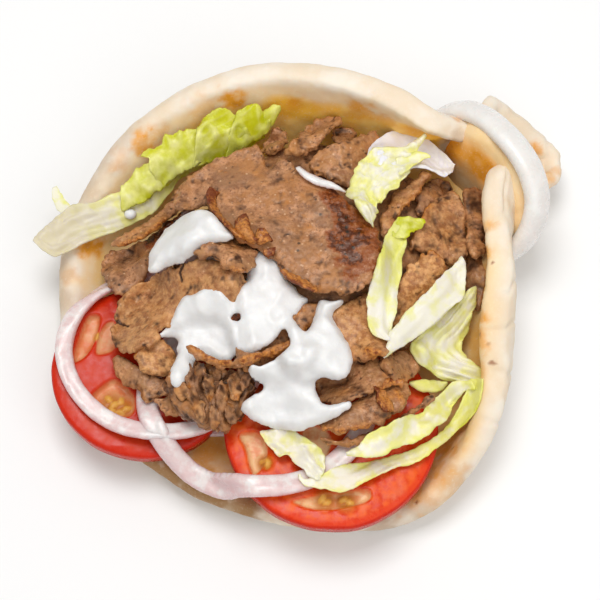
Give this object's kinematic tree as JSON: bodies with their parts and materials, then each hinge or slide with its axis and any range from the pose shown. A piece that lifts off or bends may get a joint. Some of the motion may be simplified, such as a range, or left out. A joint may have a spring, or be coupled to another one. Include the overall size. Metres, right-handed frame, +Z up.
{
  "type": "doner kebab sandwich",
  "caption": "Round flat bread folded into an open cone and held by an onion ring, filled with sliced doner meat, tomato, lettuce, onion and yoghurt sauce.",
  "frame": {"origin": "middle of the sandwich's footprint, on the table", "axes": "+X along the length of the sandwich, towards the gathered end; +Y across it, towards the high wall of bread; +Z up"},
  "size_m": [0.188, 0.1638, 0.0601],
  "materials": {
    "bread": "matte, floury, toasted inside",
    "onion": "wet, slightly see-through",
    "tomato": "wet",
    "meat": "moist, rough, browned edges",
    "lettuce": "crisp, slightly glossy",
    "lettuce_pale": "crisp, slightly glossy",
    "sauce": "glossy"
  },
  "bodies": {
    "root": {"bread": "bread", "onion_ring_neck": "onion", "tomato_left": "tomato", "tomato_right": "tomato", "meat_core": "meat", "onion_ring_left": "onion", "onion_ring_front": "onion", "lettuce_pale_front": "lettuce", "lettuce_band": "lettuce", "lettuce_long": "lettuce", "lettuce_spike": "lettuce", "meat_low_left": "meat", "meat_crumbly_low": "meat", "meat_under_front": "meat", "meat_edge_back": "meat", "meat_knob_back": "meat", "meat_right_wall": "meat", "meat_dark_right": "meat", "meat_block_left": "meat", "meat_crumbly": "meat", "meat_front_low": "meat", "meat_front": "meat", "meat_left_outer": "meat", "meat_thin_edge": "meat", "meat_back": "meat", "meat_back_left": "meat", "meat_right": "meat", "meat_right_back": "meat", "meat_small_front": "meat", "meat_centre_right": "meat", "meat_middle": "meat", "meat_front_centre": "meat", "meat_left": "meat", "meat_knob": "meat", "meat_hero": "meat", "meat_upright_right": "meat", "meat_crisp_bit": "meat", "lettuce_ruffled_front": "lettuce", "lettuce_inner_band": "lettuce", "lettuce_strip_right": "lettuce", "lettuce_wedge": "lettuce", "lettuce_white_leaf": "lettuce_pale", "lettuce_yellow_leaf": "lettuce", "onion_sliver": "onion", "sauce_left": "sauce", "sauce_low_left": "sauce", "sauce_middle_left": "sauce", "meat_crisp_strip": "meat", "sauce_front": "sauce", "sauce_middle": "sauce", "sauce_drop": "sauce"}
  },
  "joints": []
}
